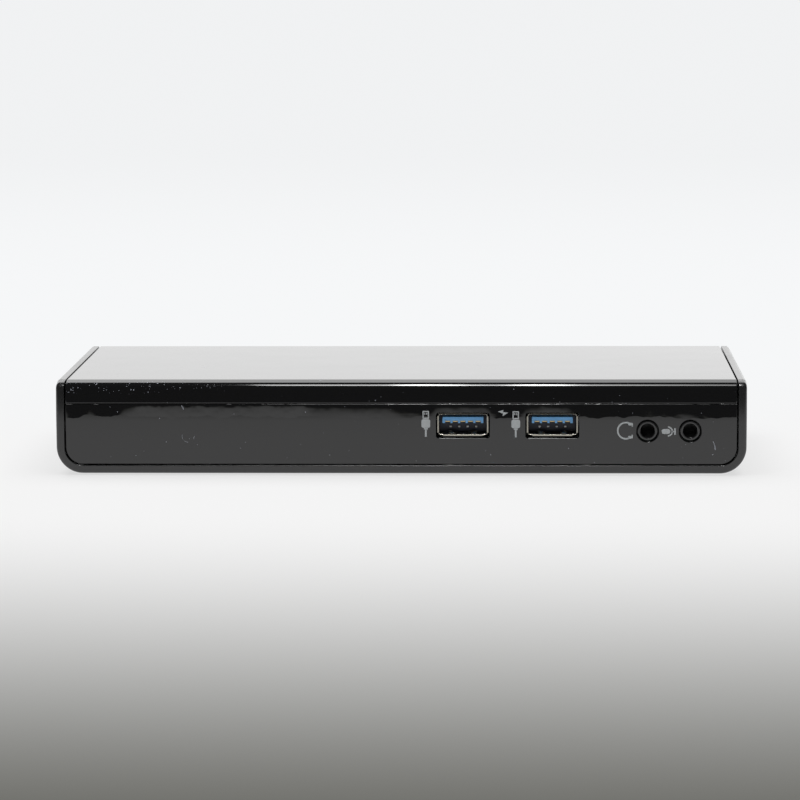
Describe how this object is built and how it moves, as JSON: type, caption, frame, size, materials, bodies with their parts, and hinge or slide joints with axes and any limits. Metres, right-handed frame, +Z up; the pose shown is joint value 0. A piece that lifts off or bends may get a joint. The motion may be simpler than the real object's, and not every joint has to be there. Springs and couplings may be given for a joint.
{
  "type": "laptop docking station",
  "caption": "Low bar-shaped docking station with USB and audio sockets in its front, power, network, video and USB sockets in its back, and a push button in one end.",
  "frame": {"origin": "on the table, under the middle of the bar", "axes": "+X along the bar to the end with the power button, -Y the front with the audio sockets, +Z up"},
  "size_m": [0.182, 0.076, 0.025],
  "materials": {
    "case_black": "fine satin, moulded, dark charcoal",
    "cover_black": "polished piano black with fine dust",
    "foot_rubber": "matt, dusty",
    "screw_steel": "black zinc",
    "plate_steel": "zinc-plated sheet",
    "label_silver": "satin silver film, blank",
    "board_green": "solder mask over copper tracks",
    "chip_black": "moulded epoxy",
    "socket_steel": "bright tinned sheet",
    "socket_black": "moulded nylon",
    "socket_blue": "moulded nylon, bright blue",
    "fin_aluminium": "extruded and anodised",
    "pad_grey": "soft filled silicone",
    "film_white": "white polyester film over flat wires",
    "clear_plastic": "clear acrylic"
  },
  "bodies": {
    "housing": {"bottom_case": "case_black", "top_cover": "cover_black", "front_panel": "cover_black", "rear_panel": "case_black", "foot_front_left": "foot_rubber", "foot_front_right": "foot_rubber", "foot_rear_left": "foot_rubber", "foot_rear_right": "foot_rubber", "case_screw_1": "screw_steel", "case_screw_2": "screw_steel", "case_screw_3": "screw_steel", "case_screw_4": "screw_steel", "rating_label": "label_silver", "lock_slot_plate": "plate_steel", "ballast_plate": "plate_steel", "main_board": "board_green", "front_board": "board_green", "main_board_screw_1": "screw_steel", "main_board_screw_2": "screw_steel", "main_board_screw_3": "screw_steel", "main_board_screw_4": "screw_steel", "front_board_screw_1": "screw_steel", "front_board_screw_2": "screw_steel", "ribbon_socket_front": "socket_black", "ribbon_socket_main": "socket_black", "ribbon_cable": "film_white", "display_chip": "chip_black", "thermal_pad": "pad_grey", "heat_sink": "fin_aluminium", "usb_hub_chip": "chip_black", "network_transformer": "chip_black", "audio_chip": "chip_black", "power_inductor": "chip_black", "bulk_capacitor": "fin_aluminium", "usb_front_left_shell": "socket_steel", "usb_front_left_insert": "socket_blue", "usb_front_right_shell": "socket_steel", "usb_front_right_insert": "socket_blue", "headphone_jack": "socket_black", "microphone_jack": "socket_black", "dc_inlet": "socket_black", "dc_inlet_pin": "socket_steel", "usb_b_shell": "socket_steel", "usb_b_insert": "socket_blue", "network_jack": "socket_steel", "usb_stack_a_shell": "socket_steel", "usb_stack_a_insert": "socket_black", "usb_stack_b_shell": "socket_steel", "usb_stack_b_insert": "socket_black", "video_small_shell": "socket_steel", "video_small_insert": "socket_black", "video_wide_shell": "socket_steel", "video_wide_insert": "socket_black", "video_nut_left": "socket_steel", "video_nut_right": "socket_steel", "power_switch": "socket_black", "light_pipe": "clear_plastic", "status_lamp": "film_white"},
    "button": {"power_button": "case_black", "switch_plunger": "film_white"}
  },
  "joints": [
    {"name": "power_button_press", "type": "slide", "parent": "housing", "child": "button", "axis": [-1, 0, 0], "range_m": [0, 0.0007], "stiffness_N_per_m": 2000}
  ]
}
